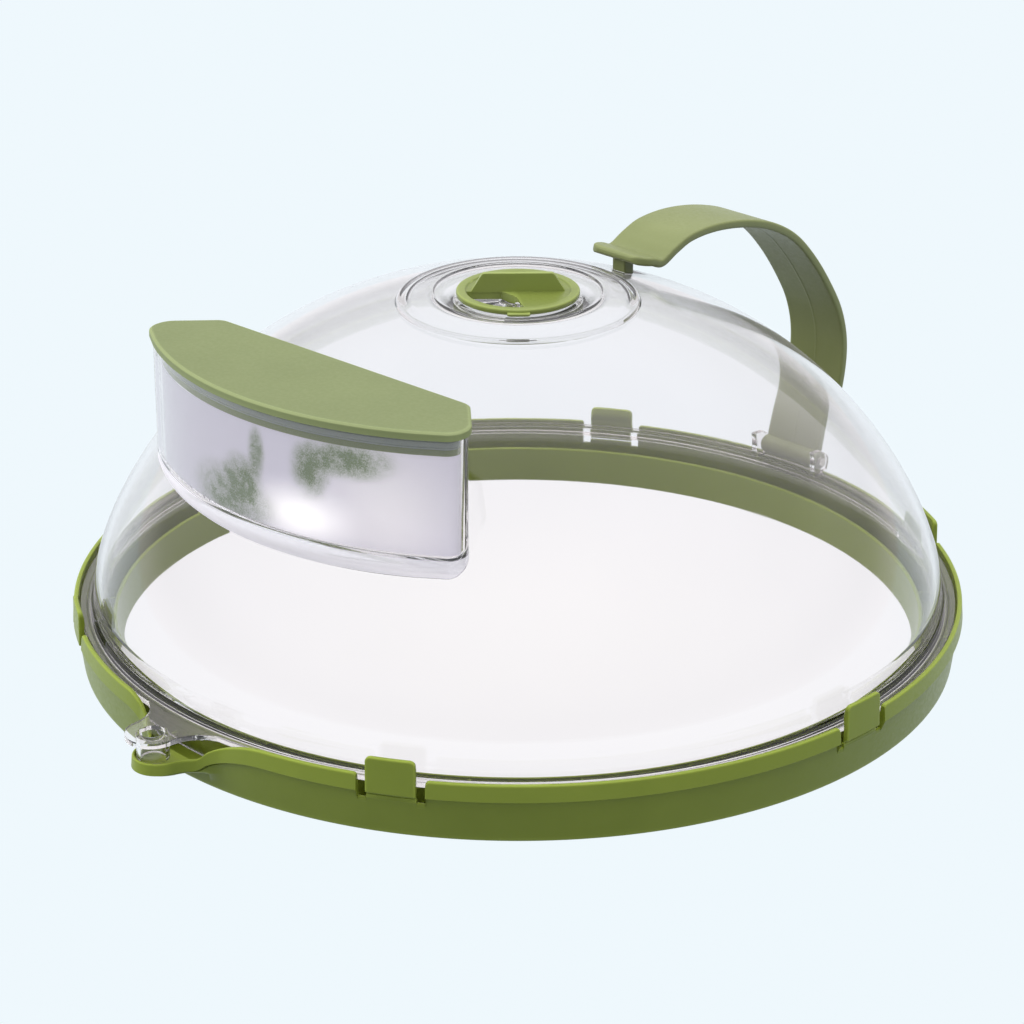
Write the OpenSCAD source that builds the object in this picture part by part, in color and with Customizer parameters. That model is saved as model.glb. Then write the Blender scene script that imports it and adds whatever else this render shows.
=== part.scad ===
// Vented plate cover for a microwave oven.
// A clear dome with a water pocket stands in a green drip ring with six snap clips.
// The origin is on the ring's own axis, at the plane that it stands on.
// +Z is up, -Y points to the hanging lug and +Y to the strap handle.
// Angles called "ang" run from -Y towards +X.

/* [Base ring] */
// Outside radius of the ring's lip
lip_r = 132.5; // [131.5:0.5:134]
// Height of the top of the lip
lip_top = 17.9; // [17.5:0.1:18.2]
// Height of the band that forms the lip
lip_band = 5; // [4:0.5:6]
// Height of the wall at the ring's opening
inner_wall_h = 11.4; // [9:0.2:12]
// Thickness of the ring's walls
ring_wall = 1.8; // [1.4:0.1:2]
// Number of ribs across the drip channel
channel_ribs = 24; // [12:4:36]

/* [Snap clips] */
// Angle that one clip covers, in degrees
clip_span = 6.1; // [5:0.1:7]
// Width of the slot on each side of a clip
clip_slot = 2.6; // [2:0.1:3]
// Height of the top of a clip
clip_top = 23.4; // [22:0.2:24]

/* [Dome] */
// Height at which the dome leaves the straight rim
dome_base_z = 23; // [22:0.5:24]
// Rise of the dome above that height
dome_rise = 86; // [84:1:88]
// Thickness of the clear wall
dome_wall = 2; // [1.6:0.1:2.2]
// Exponent that sets how square the dome's side is
side_power = 2.39; // [2.3:0.01:2.5]
// Exponent that sets how flat the dome's top is
top_power = 1.41; // [1.35:0.01:1.5]

/* [Vent] */
// Radius of the vent knob
knob_r = 17.9; // [17:0.1:19]
// Height of the knob's top face
knob_top = 109.6; // [109.4:0.1:110]
// Height of the top of the knob's grip fin
fin_top = 114.6; // [113:0.2:116]

/* [Water box] */
// Radius to which the box's front wall is curved
box_r = 99; // [98.5:0.5:100]
// Distance from the ring's axis to the box's rear wall
box_rear = 71.8; // [71:0.2:72.2]
// Half of the length of the rear wall
rear_half = 47.5; // [47:0.5:48.5]
// Half of the length of the whole box
box_half = 58.8; // [57.8:0.2:59]
// Height of the box's floor
box_floor = 70.5; // [69:0.5:72]
// Height of the top of the lid
lid_top = 107.5; // [107.2:0.1:108]

/* [Handle] */
// Width of the strap
strap_w = 22; // [20:0.5:23]
// Thickness of the strap
strap_t = 2.6; // [2.2:0.1:3]
// Radius of the hinge pin
pin_r = 1.5; // [1.2:0.1:1.7]

/* [Hidden] */
$fn = 96;

leaf = "#7f9a45";
leaf_lid = "#93a867";
clear = [0.88, 0.89, 0.92, 0.45];
silicone = [0.62, 0.66, 0.63];

// Clearance between pieces that move against each other
gap = 0.3;
// Clearance of a running fit
run = 0.05;
// Amount by which a cutting solid passes through
over = 1;

// Ring
channel_floor = 1.8;
lip_in = lip_r - ring_wall;
band_z = lip_top - lip_band;
foot_r = lip_r - 2.5;
opening_r = lip_r - 12.9;
channel_in = opening_r + ring_wall;
rib_top = 4.7;
rib_t = 1;
clip_angles = [-150, -90, -33, 29, 90, 150];
clip_foot = band_z - 0.6;
clip_corner = 1.6;

// Hanging lug and the pocket of the ring under it
lug_ang = -1.65;
lug_y = lip_r + 7.5;
lug_hole_r = 3.55;
lug_tip_r = 7.6;
lug_blend_r = 12;
boss_r = 4.2;
boss_foot = 8.5;
boss_top = 16.75;
ear_y = lip_r + 5.2;
ear_tip_r = 8.2;
ear_wall = 1.35;
ear_blend_r = 12;
ear_foot = 4.4;
ear_floor = 1.5;
ear_top = 10.6;
ear_span = 17;

// Dome rim
dome_r = lip_r - 6.7;
flange_r = lip_in - 0.4;
flange_z = 15;
flange_top = 16.6;
skirt_foot = rib_top + gap;

// Vent seat in the crown of the dome
crown_r = 35.6;
plateau_r = 33;
plateau_z = 109.2;
shoulder_z = 108;
seat_r = 24.2;
seat_top = 108.75;
recess_r = knob_r + 1.6;
seat_z = knob_top - 2;
cup_r = 16.2;
cup_z = 106.4;
cup_under = 104.4;
hub_r = 3.74;
stop_r = 10;
stop_ang = 42.4;
stop_peg_r = 0.8;

// Water box
box_ang = 1.3;
box_shift = 9;
box_foot = 66;
box_wall = 2;
corner_r = 4;
plate_t = 2.5;
plate_z = lid_top - plate_t;
box_rim = plate_z - 0.2;
seal_z = plate_z - 3.5;
seal_h = 3;

// Strap
pin_y = dome_r + 3.8;
pin_z = 21.7;
knuckle_r = 3.3;
cheek_t = 2;
stud_y = 45;
stud_w = 5;
stud_t = 4;
stud_foot = 100.6;
strap_end_y = 40.8;
// Side view of the strap's centre line, from the free end down to the hinge
strap_route = [[42.1, 109.5], [46.5, 108.5], [51, 107.2], [57, 109.8], [64, 112],
               [75, 112.3], [88, 110.4], [101, 106.4], [112, 100.2], [121, 91.6],
               [129.5, 80.6], [136.3, 69], [139.3, 57], [138, 44], [133.4, 32],
               [pin_y + 0.9, 23]];

function unit(v) = v / norm(v);
function turn_left(v) = [-v[1], v[0]];
function reversed(list) = [for (i = [len(list) - 1:-1:0]) list[i]];

// Point on the dome's curve, t degrees down from the top
function dome_point(r, rise, t) =
    [r * pow(sin(t), 2 / side_power), dome_base_z + rise * pow(cos(t), 2 / top_power)];
// Value of t at which the dome's curve has the radius r
function dome_angle(r) = asin(pow(r / dome_r, side_power / 2));

// Arc that rounds the corner b between a and c
function rounded(a, b, c, r, steps = 6) =
    let (u = unit(a - b), v = unit(c - b), half = acos(u * v) / 2,
         centre = b + unit(u + v) * r / sin(half),
         start = b + u * r / tan(half) - centre,
         side = (u[0] * v[1] - u[1] * v[0]) > 0 ? -1 : 1,
         sweep = side * (180 - 2 * half))
    [for (i = [0:steps]) let (s = sweep * i / steps)
        centre + [start[0] * cos(s) - start[1] * sin(s), start[0] * sin(s) + start[1] * cos(s)]];

// Outline of the water box, moved inwards by inset
function box_outline(inset) =
    let (chamfer = unit([1, 1]),
         k = chamfer * [rear_half, -box_rear] - inset,
         rear_y = -box_rear - inset,
         side_x = box_half - inset,
         front_r = box_r - inset,
         a = [(k - chamfer[1] * rear_y) / chamfer[0], rear_y],
         b = [side_x, (k - chamfer[0] * side_x) / chamfer[1]],
         reach = asin(side_x / front_r),
         centre = [0, -box_shift],
         c = centre + front_r * [sin(reach), -cos(reach)],
         d = centre + front_r * [sin(reach - 6), -cos(reach - 6)],
         r = min(corner_r - 0.6 * inset, b[1] - c[1]),
         half = concat(rounded([0, rear_y], a, b, r), rounded(a, b, c, r),
                       rounded(b, c, d, r),
                       [for (i = [1:8]) let (s = (reach - 6) * (1 - i / 8))
                           centre + front_r * [sin(s), -cos(s)]]))
    concat(half, [for (p = reversed(half)) if (p[0] > 0.01) [-p[0], p[1]]]);

// Point of a smooth curve through a list of points
function spline_point(p, i, t) =
    let (a = p[max(i - 1, 0)], b = p[i], c = p[i + 1], d = p[min(i + 2, len(p) - 1)])
    0.5 * (2 * b + (c - a) * t + (2 * a - 5 * b + 4 * c - d) * t * t
           + (3 * b - a - 3 * c + d) * t * t * t);
function spline(p, steps) =
    concat([for (i = [0:len(p) - 2], k = [0:steps - 1]) spline_point(p, i, k / steps)],
           [p[len(p) - 1]]);
// Outline of a band of thickness t along a path
function band(path, t) =
    let (n = len(path),
         normal = [for (i = [0:n - 1])
             turn_left(unit(path[min(i + 1, n - 1)] - path[max(i - 1, 0)])) * t / 2])
    concat([for (i = [0:n - 1]) path[i] + normal[i]],
           reversed([for (i = [0:n - 1]) path[i] - normal[i]]));

// Turns children drawn at -Y to another angle round the ring
module at_ang(ang) {
    rotate([0, 0, ang]) children();
}

// Part turn of a profile, centred on -Y
module sector(span) {
    rotate([0, 0, -90 - span / 2]) rotate_extrude(angle = span) children();
}

// Disc with a rounded tongue towards -Y, joined by two tangent arcs
module tongue(disc_r, tip_y, tip_r, blend_r) {
    far = disc_r + blend_r;
    near = tip_r + blend_r;
    along = (far * far - near * near + tip_y * tip_y) / (2 * tip_y);
    out = sqrt(far * far - along * along);
    circle(r = disc_r, $fn = 180);
    translate([0, -tip_y]) circle(r = tip_r);
    difference() {
        polygon([[0, 0], [-out, -along], [0, -tip_y], [out, -along]]);
        for (side = [-1, 1]) translate([side * out, -along]) circle(r = blend_r);
    }
}

// Extrudes a side view drawn in Y and Z across X
module across(width) {
    rotate([90, 0, 90]) translate([0, 0, -width / 2]) linear_extrude(width) children();
}

module ring_wall_profile() {
    polygon([[opening_r, 0], [foot_r, 0], [lip_r - 1, band_z], [lip_r, band_z],
             [lip_r, lip_top - 0.5], [lip_r - 0.5, lip_top], [lip_in, lip_top],
             [lip_in, band_z], [foot_r - ring_wall, channel_floor],
             [channel_in, channel_floor], [channel_in, inner_wall_h],
             [opening_r + 0.6, inner_wall_h]]);
}

module clip_slots() {
    slot_ang = clip_slot / lip_r * 180 / PI;
    for (ang = clip_angles)
        at_ang(ang) sector(clip_span + 2 * slot_ang)
            translate([lip_in - 3, clip_foot - gap]) square([6, lip_top]);
}

module ear_pocket() {
    difference() {
        translate([0, 0, ear_foot]) linear_extrude(ear_top - ear_foot)
            tongue(foot_r, ear_y, ear_tip_r, ear_blend_r);
        translate([0, 0, -over]) cylinder(r = foot_r - ring_wall, h = 30, $fn = 180);
    }
}

module ear_inside() {
    translate([0, 0, ear_foot + ear_floor]) linear_extrude(30)
        intersection() {
            tongue(foot_r - ring_wall, ear_y, ear_tip_r - ear_wall, ear_blend_r + ear_wall);
            translate([-30, -ear_y - 20]) square([60, 35.2]);
        }
}

module lip_gap() {
    sector(ear_span) translate([lip_in - 5, band_z - 0.4]) square([12, 12]);
}

module base_ring() {
    color(leaf) union() {
        difference() {
            union() {
                rotate_extrude($fn = 180) ring_wall_profile();
                at_ang(lug_ang) ear_pocket();
            }
            clip_slots();
            at_ang(lug_ang) ear_inside();
            at_ang(lug_ang) lip_gap();
        }
        for (i = [0:channel_ribs - 1])
            at_ang((i + 0.5) * 360 / channel_ribs)
                translate([-rib_t / 2, -foot_r + 1, channel_floor - 0.4])
                    cube([rib_t, foot_r - channel_in - 0.6, rib_top - channel_floor + 0.4]);
    }
}

module clip_profile() {
    bead = 0.2;
    polygon([[lip_in, clip_foot], [lip_r - 0.8, clip_foot], [lip_r - 0.8, band_z],
             [lip_r, band_z], [lip_r, clip_top - 0.4], [lip_r - 0.4, clip_top],
             [lip_in + 0.4, clip_top], [lip_in - bead, clip_top - 2],
             [lip_in - bead, clip_top - 3.4], [lip_in, clip_top - 4.4]]);
}

module snap_clip(number) {
    width = 2 * lip_r * sin(clip_span / 2);
    left = -width / 2;
    color(leaf) at_ang(clip_angles[number - 1]) intersection() {
        sector(clip_span) clip_profile();
        rotate([90, 0, 0]) translate([0, 0, lip_in - 4]) linear_extrude(8)
            polygon(concat([[left, 0], [-left, 0]],
                rounded([-left, 0], [-left, clip_top], [0, clip_top], clip_corner),
                rounded([0, clip_top], [left, clip_top], [left, 0], clip_corner)));
    }
}

// Wall of the dome with its rim, skirt and vent seat, as one profile
module dome_profile() {
    top_t = dome_angle(crown_r);
    steps = 20;
    angles = [for (i = [0:steps]) top_t + (90 - top_t) * i / steps];
    outside = [for (t = reversed(angles)) dome_point(dome_r, dome_rise, t)];
    inside = [for (t = angles) dome_point(dome_r - dome_wall, dome_rise - dome_wall, t)];
    polygon(concat(
        [[dome_r - dome_wall, skirt_foot], [dome_r, skirt_foot], [dome_r, flange_z],
         [flange_r, flange_z], [flange_r, flange_top], [dome_r + 2.2, flange_top],
         [dome_r + 0.7, flange_top + 1], [dome_r, flange_top + 3.2]],
        outside,
        [[plateau_r + 2.1, 106.8], [plateau_r + 1.6, shoulder_z - 0.7],
         [plateau_r + 0.9, shoulder_z - 0.2], [plateau_r, shoulder_z],
         [seat_r + 0.4, plateau_z], [seat_r, seat_top], [recess_r, seat_top],
         [recess_r, seat_z], [cup_r, seat_z], [cup_r, cup_z], [hub_r + run, cup_z],
         [hub_r + run, cup_under], [cup_r + 1, cup_under], [recess_r + 1.5, cup_under + 1.6],
         [seat_r + 0.8, plateau_z - 2], [plateau_r - 1.2, shoulder_z - 2],
         [plateau_r + 0.8, 104.4]],
        inside));
}

module hanging_lug() {
    difference() {
        union() {
            translate([0, 0, flange_z]) linear_extrude(flange_top - flange_z)
                tongue(flange_r - 0.4, lug_y, lug_tip_r, lug_blend_r);
            translate([0, -lug_y, boss_foot]) cylinder(r = boss_r, h = boss_top - boss_foot);
        }
        translate([0, 0, -over]) cylinder(r = dome_r - 1, h = 30, $fn = 180);
    }
}

// Ears on the dome's rim that hold the hinge pin
module hinge_cheeks() {
    for (side = [-1, 1])
        translate([side * (strap_w + 2 * gap + cheek_t) / 2, 0, 0]) across(cheek_t)
            union() {
                polygon([[dome_r - 2.5, flange_z + 0.4], [flange_r - 0.9, flange_z + 0.4],
                         [flange_r - 0.9, lip_top + 0.5], [pin_y + 3.4, lip_top + 0.5],
                         [pin_y + 3.4, pin_z], [pin_y, pin_z + 4.6],
                         [dome_r - 2.2, pin_z + 4.6]]);
                translate([pin_y, pin_z]) circle(r = 3.4);
            }
}

module box_solid() {
    translate([0, 0, box_foot]) linear_extrude(box_rim - box_foot)
        polygon(box_outline(0));
    translate([0, -box_shift, 0]) sector(64)
        polygon([[box_r - 7, box_foot + 0.1], [box_r - 0.3, box_foot + 0.1],
                 [box_r - 1.6, box_foot - 1.4], [box_r - 3.4, box_foot - 3],
                 [box_r - 5, box_foot - 3]]);
}

module vent_window() {
    rotate([0, 0, -7.5]) sector(75) translate([5.6, cup_under - over]) square([8.8, 6]);
}

module stud_slot() {
    translate([-stud_w / 2 - gap, stud_y - stud_t / 2 - gap, stud_foot - 3])
        cube([stud_w + 2 * gap, stud_t + 5.2, 12]);
}

module dome_cover() {
    color(clear) difference() {
        union() {
            rotate_extrude($fn = 180) dome_profile();
            at_ang(lug_ang) hanging_lug();
            hinge_cheeks();
            at_ang(box_ang) box_solid();
            at_ang(stop_ang) translate([0, -stop_r, cup_z - 0.2])
                cylinder(r = stop_peg_r, h = 2.7);
        }
        at_ang(box_ang) translate([0, 0, box_floor]) linear_extrude(60)
            polygon(box_outline(box_wall));
        at_ang(lug_ang) translate([0, -lug_y, 0]) cylinder(r = lug_hole_r, h = 30);
        translate([-20, pin_y, pin_z]) rotate([0, 90, 0]) cylinder(r = pin_r, h = 40);
        vent_window();
        stud_slot();
    }
}

// Opening of the knob, between the fin and the bent edge of the raised floor
module knob_window() {
    apex = [-2.9, -3.9];
    intersection() {
        circle(r = 15);
        polygon([apex, apex + [-30, -30], [10, -45], [35, -21.3], [8.6, -7.6], [3.4, -4.2]]);
    }
}

module grip_fin() {
    fin_base = 13.7;
    fin_crest = 10.3;
    fin_t = 1.8;
    foot = knob_top - 0.8;
    rotate([0, 0, 45]) rotate([90, 0, 0]) translate([0, 0, -fin_t / 2])
        linear_extrude(fin_t)
            polygon([[-fin_base, foot], [fin_base, foot], [fin_crest, fin_top],
                     [-fin_crest, fin_top]]);
}

module vent_knob() {
    color(leaf) union() {
        difference() {
            union() {
                translate([0, 0, seat_z + gap])
                    cylinder(r = knob_r, h = knob_top - seat_z - gap);
                translate([0, 0, cup_z + gap])
                    cylinder(r = cup_r - gap, h = knob_top - cup_z - 2 * gap);
                at_ang(44.5) translate([-3.3, -knob_r - 1.2, seat_z + gap])
                    cube([6.6, 5, 0.9]);
            }
            translate([0, 0, knob_top - 0.5]) cylinder(r = 15.2, h = 2);
            translate([0, 0, cup_z]) linear_extrude(9) knob_window();
        }
        grip_fin();
        translate([0, 0, 104.1]) cylinder(r = hub_r, h = 3);
        translate([0, 0, 102.2]) cylinder(r = 2.6, h = 2.2);
        translate([0, 0, 101.2]) cylinder(r = 3.2, h = 1.2);
    }
}

module vent_retainer() {
    color("whitesmoke") translate([0, 0, 102.4]) difference() {
        cylinder(r = 5.2, h = 1.7);
        translate([0, 0, -over]) cylinder(r = 2.6, h = 4);
    }
}

module water_box_lid() {
    color(leaf_lid) at_ang(box_ang) union() {
        translate([0, 0, plate_z]) linear_extrude(plate_t) polygon(box_outline(-1));
        difference() {
            union() {
                translate([0, 0, seal_z]) linear_extrude(plate_z - seal_z + 0.2)
                    polygon(box_outline(4));
                translate([0, 0, seal_z - 2]) linear_extrude(2)
                    polygon(box_outline(box_wall + 0.6));
            }
            translate([0, 0, seal_z - 2 - over])
                linear_extrude(plate_z - seal_z + 2 + over) polygon(box_outline(5.2));
        }
    }
}

module lid_seal() {
    color(silicone) at_ang(box_ang) translate([0, 0, seal_z]) difference() {
        linear_extrude(seal_h) polygon(box_outline(box_wall + gap));
        translate([0, 0, -over]) linear_extrude(seal_h + 2 * over) polygon(box_outline(4));
    }
}

module strap_plan() {
    edge = strap_w / 2;
    polygon(concat(
        [[-edge, 150], [edge, 150]],
        rounded([edge, 150], [edge, strap_end_y], [0, strap_end_y], 5),
        rounded([0, strap_end_y], [-edge, strap_end_y], [-edge, 150], 5)));
}

module strap_handle() {
    color(leaf) difference() {
        union() {
            intersection() {
                across(strap_w) union() {
                    polygon(band(spline(strap_route, 4), strap_t));
                    translate(strap_route[0]) circle(r = strap_t / 2);
                    translate([pin_y, pin_z]) circle(r = knuckle_r);
                }
                linear_extrude(130) strap_plan();
            }
            translate([-stud_w / 2, stud_y - stud_t / 2, stud_foot])
                cube([stud_w, stud_t, 108.4 - stud_foot]);
        }
        translate([-20, pin_y, pin_z]) rotate([0, 90, 0]) cylinder(r = pin_r + run, h = 40);
    }
}

module handle_pin() {
    length = strap_w + 2 * gap + 2 * cheek_t;
    color("gainsboro") translate([-length / 2, pin_y, pin_z]) rotate([0, 90, 0])
        cylinder(r = pin_r, h = length);
}

base_ring();
snap_clip(1);  // snap_clip_1
snap_clip(2);  // snap_clip_2
snap_clip(3);  // snap_clip_3
snap_clip(4);  // snap_clip_4
snap_clip(5);  // snap_clip_5
snap_clip(6);  // snap_clip_6
dome_cover();
vent_knob();
vent_retainer();
water_box_lid();
lid_seal();
strap_handle();
handle_pin();
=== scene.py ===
"""Looks of a vented plate cover: a clear dome with a water box in a green drip ring."""

import math
import random

import bmesh
import bpy
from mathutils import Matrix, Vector


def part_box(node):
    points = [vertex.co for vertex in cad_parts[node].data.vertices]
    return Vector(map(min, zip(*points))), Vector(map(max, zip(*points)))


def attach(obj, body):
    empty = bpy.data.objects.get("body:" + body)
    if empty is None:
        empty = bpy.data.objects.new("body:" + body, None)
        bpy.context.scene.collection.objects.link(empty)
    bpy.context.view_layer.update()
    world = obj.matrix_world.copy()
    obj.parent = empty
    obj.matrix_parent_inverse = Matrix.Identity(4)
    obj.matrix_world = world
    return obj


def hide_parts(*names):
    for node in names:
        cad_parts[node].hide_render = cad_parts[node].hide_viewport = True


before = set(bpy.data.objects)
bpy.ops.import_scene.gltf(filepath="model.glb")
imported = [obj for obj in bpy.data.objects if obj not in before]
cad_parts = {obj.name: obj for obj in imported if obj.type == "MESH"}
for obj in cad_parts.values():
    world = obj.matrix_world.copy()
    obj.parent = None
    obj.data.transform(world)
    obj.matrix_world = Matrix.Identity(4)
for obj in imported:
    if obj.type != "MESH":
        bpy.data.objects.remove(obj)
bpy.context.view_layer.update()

# Sizes are in millimetres, as in the CAD model, and points become metres in make_object().
# Angles called "ang" run from -Y, where the hanging lug is, towards +X.
MM = 1000


def node_box(node):
    """Lowest and highest corner of a CAD node in millimetres."""
    low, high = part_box(node)
    return [round(value * MM, 2) for value in low], [round(value * MM, 2) for value in high]


ring_high = node_box("base_ring")[1]
clip_low, clip_high = node_box("snap_clip_5")
seal_low, seal_high = node_box("lid_seal")
pin_low, pin_high = node_box("handle_pin")

# Ring
LIP_R = round(ring_high[0], 1)
LIP_TOP = round(ring_high[2], 1)
RING_WALL = 1.8
LIP_IN = LIP_R - RING_WALL
BAND_Z = LIP_TOP - 5
FOOT_R = LIP_R - 2.5
OPENING_R = LIP_R - 12.9
CHANNEL_IN = OPENING_R + RING_WALL
CHANNEL_FLOOR = 1.8
INNER_WALL_H = 11.4
RIB_COUNT = 24
RIB_TOP = 4.7

# Snap clips and the slots beside them
CLIP_ANGLES = (-150, -90, -33, 29, 90, 150)
CLIP_SPAN = 6.1
SLOT_ANG = math.degrees(2.6 / LIP_R)
CLIP_FOOT = clip_low[2]
CLIP_TOP = clip_high[2]
SLOT_FLOOR = CLIP_FOOT - 0.3
SLOT_SINK = 1.3

# Hanging lug, and the ear of the ring under it
LUG_ANG = -1.65
LUG_Y = LIP_R + 7.5
LUG_TIP_R = 7.6
LUG_HOLE_R = 3.55
LUG_BLEND_R = 12
BOSS_R = 4.2
EAR_Y = LIP_R + 5.2
EAR_TIP_R = 8.2
EAR_WALL = 1.35
EAR_BLEND_R = 12
EAR_RIM = 9.4
EAR_FOOT = 4.4
EAR_BAND = 3.4
EAR_INNER_BAND = 8.4

# Dome
DOME_R = LIP_R - 6.7
DOME_BASE = 23
DOME_RISE = 86
DOME_WALL = 2
SIDE_POWER = 2.39
TOP_POWER = 1.41
SKIRT_FOOT = node_box("dome_cover")[0][2]
FLANGE_R = LIP_IN - 0.4
FLANGE_Z = 15
FLANGE_TOP = 16.6

# Vent seat in the crown
CROWN_R = 35.6
PLATEAU_R = 33
PLATEAU_Z = 109.2
SHOULDER_Z = 108
SEAT_R = 24.2
SEAT_TOP = 108.75
SEAT_Z = 107.6
CUP_R = 16.2
CUP_Z = 106.4
CUP_UNDER = 104.4
STOP_PEG_TOP = 108.9
HUB_R = 3.74
STOP_R = 10
STOP_ANG = 42.4
STOP_PEG_R = 0.8

# Vent knob
KNOB_R = 17.9
RECESS_R = KNOB_R + 1.6
KNOB_TOP = SEAT_Z + 2
FIN_TOP = node_box("vent_knob")[1][2]
FIN_ANG = 45
DISH_R = 15
POINTER_ANG = 44.5

# Water box
BOX_ANG = 1.3
BOX_SHIFT = 9
BOX_R = 99
BOX_REAR = 71.8
REAR_HALF = 47.5
BOX_HALF = 58.8
BOX_WALL = 2
BOX_UNDER = 66
BOX_FLOOR = 70.5
BOX_CORNER = 4
LID_TOP = node_box("water_box_lid")[1][2]
LID_PLATE = LID_TOP - 2.5
BOX_RIM = LID_PLATE - 0.2

# Strap
STRAP_HALF = round(node_box("strap_handle")[1][0], 1)
STRAP_T = 2.6
PIN_Y = (pin_low[1] + pin_high[1]) / 2
PIN_Z = (pin_low[2] + pin_high[2]) / 2
PIN_R = (pin_high[2] - pin_low[2]) / 2
KNUCKLE_R = 3.3
STUD_FOOT = 100.6
STUD_TOP = 108.4
STUD_Y = 45
STUD_HALF = 2.5
STRAP_ROUTE = [
    (42.1, 109.5), (46.5, 108.5), (51, 107.2), (57, 109.8), (64, 112), (75, 112.3),
    (88, 110.4), (101, 106.4), (112, 100.2), (121, 91.6), (129.5, 80.6), (136.3, 69),
    (139.3, 57), (138, 44), (133.4, 32), (PIN_Y + 0.9, 23),
]

# Tones, as linear red, green and blue
HAZE_TONE = (0.52, 0.51, 0.54)
# Tone of the painted glow that the box's solid floor gives off
PAINTED_BOX_FLOOR_GLOW = (0.90, 0.88, 0.95)
SHADOW_TINT = (0.80, 0.79, 0.80)
FILM_TONE = (0.78, 0.77, 0.85)
FILM_SIDE_TONE = (0.87, 0.86, 0.89)
SMEAR_TONE = (0.25, 0.31, 0.19)

# The box's solid floor stands out of the cone where radius + CONE_SLOPE * height is CONE_REACH
CONE_SLOPE = 0.87
CONE_REACH = 160.7


# ---------------------------------------------------------------- shape helpers

def at(ang, r, z=0.0):
    """Point at an angle and a radius round the ring's axis."""
    turn = math.radians(ang)
    return (r * math.sin(turn), -r * math.cos(turn), z)


def turned(point, ang):
    """Point drawn with its own front at -Y, turned to another angle."""
    turn = math.radians(ang)
    x, y = point[0], point[1]
    return (
        x * math.cos(turn) - y * math.sin(turn),
        x * math.sin(turn) + y * math.cos(turn),
        *point[2:],
    )


def smooth(value):
    """Smooth step from 0 to 1."""
    value = min(1, max(0, value))
    return value * value * (3 - 2 * value)


def mix(a, b, share):
    return a + (b - a) * share


def soften(corners, steps=4):
    """Closed outline through corners (u, v, radius), each rounded off by about its radius."""
    outline = []
    count = len(corners)
    for i, (u, v, radius) in enumerate(corners):
        here = Vector((u, v))
        if radius <= 0:
            outline.append((u, v))
            continue
        before = Vector(corners[i - 1][:2]) - here
        after = Vector(corners[(i + 1) % count][:2]) - here
        reach = min(radius, 0.48 * before.length, 0.48 * after.length)
        start = here + before.normalized() * reach
        end = here + after.normalized() * reach
        for k in range(steps + 1):
            t = k / steps
            point = start * (1 - t) ** 2 + here * 2 * t * (1 - t) + end * t * t
            outline.append((point.x, point.y))
    return outline


def loft(rings, closed=False):
    """Skin over rings of equally many points. Open ends are capped."""
    count = len(rings[0])
    verts = [point for ring in rings for point in ring]
    faces = []
    for i in range(len(rings) if closed else len(rings) - 1):
        here = i * count
        there = (i + 1) % len(rings) * count
        for k in range(count):
            k_next = (k + 1) % count
            faces.append((here + k, here + k_next, there + k_next, there + k))
    if not closed:
        faces.append(tuple(range(count)))
        faces.append(tuple(range((len(rings) - 1) * count, len(rings) * count)))
    return verts, faces


def revolve(outline, steps=360):
    """Full turn of an outline of (radius, height) points."""
    rings = [[at(360 * i / steps, r, z) for r, z in outline] for i in range(steps)]
    return loft(rings, closed=True)


def lathe(outline, steps=96):
    """Full turn of an open outline whose two ends lie on the axis."""
    verts = [(0, 0, outline[0][1])]
    inner = outline[1:-1]
    for i in range(steps):
        verts += [at(360 * i / steps, r, z) for r, z in inner]
    verts.append((0, 0, outline[-1][1]))
    count = len(inner)
    last = len(verts) - 1
    faces = []
    for i in range(steps):
        here = 1 + i * count
        there = 1 + (i + 1) % steps * count
        faces.append((0, here, there))
        faces.append((last, there + count - 1, here + count - 1))
        for k in range(count - 1):
            faces.append((here + k, here + k + 1, there + k + 1, there + k))
    return verts, faces


def prism(outline, low, high):
    """Straight extrusion of an outline of (x, y) points."""
    return loft([[(x, y, z) for x, y in outline] for z in (low, high)])


def turn_points(shape, ang, centre=(0, 0, 0)):
    verts, faces = shape
    cx, cy, cz = centre
    moved = [turned(v, ang) for v in verts]
    return [(x + cx, y + cy, z + cz) for x, y, z in moved], faces


def lay_along_x(shape, centre):
    """Turns a shape made along Z so that it lies along X, at a centre."""
    verts, faces = shape
    return [(z + centre[0], x + centre[1], y + centre[2]) for x, y, z in verts], faces


def show_object(name, data):
    obj = bpy.data.objects.new(name, data)
    bpy.context.scene.collection.objects.link(obj)
    return obj


def object_from(bm, name):
    mesh = bpy.data.meshes.new(name)
    bm.to_mesh(mesh)
    bm.free()
    return show_object(name, mesh)


def make_object(name, *shapes):
    """Mesh object from closed shapes in millimetres, with faces turned outwards."""
    bm = bmesh.new()
    for verts, faces in shapes:
        made = [bm.verts.new(Vector(v) / MM) for v in verts]
        for face in faces:
            bm.faces.new([made[i] for i in face])
    bmesh.ops.remove_doubles(bm, verts=bm.verts, dist=1e-7)
    bmesh.ops.dissolve_degenerate(bm, edges=bm.edges, dist=1e-7)
    bmesh.ops.recalc_face_normals(bm, faces=bm.faces)
    return object_from(bm, name)


def apply_modifiers(obj):
    bpy.context.view_layer.update()
    evaluated = obj.evaluated_get(bpy.context.evaluated_depsgraph_get())
    mesh = bpy.data.meshes.new_from_object(evaluated)
    obj.modifiers.clear()
    obj.data = mesh


def combine(obj, operation, *shapes):
    """Adds shapes to an object, or takes them away, as solids."""
    for shape in shapes:
        tool = shape if isinstance(shape, bpy.types.Object) else make_object("tool", shape)
        step = obj.modifiers.new("solid", "BOOLEAN")
        step.operation = operation
        step.solver = "MANIFOLD"
        step.object = tool
        apply_modifiers(obj)
        bpy.data.objects.remove(tool)


def join(target, other):
    """Joins another object's mesh into the target."""
    bm = bmesh.new()
    bm.from_mesh(target.data)
    bm.from_mesh(other.data)
    bpy.data.objects.remove(other)
    bm.to_mesh(target.data)
    bm.free()


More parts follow.
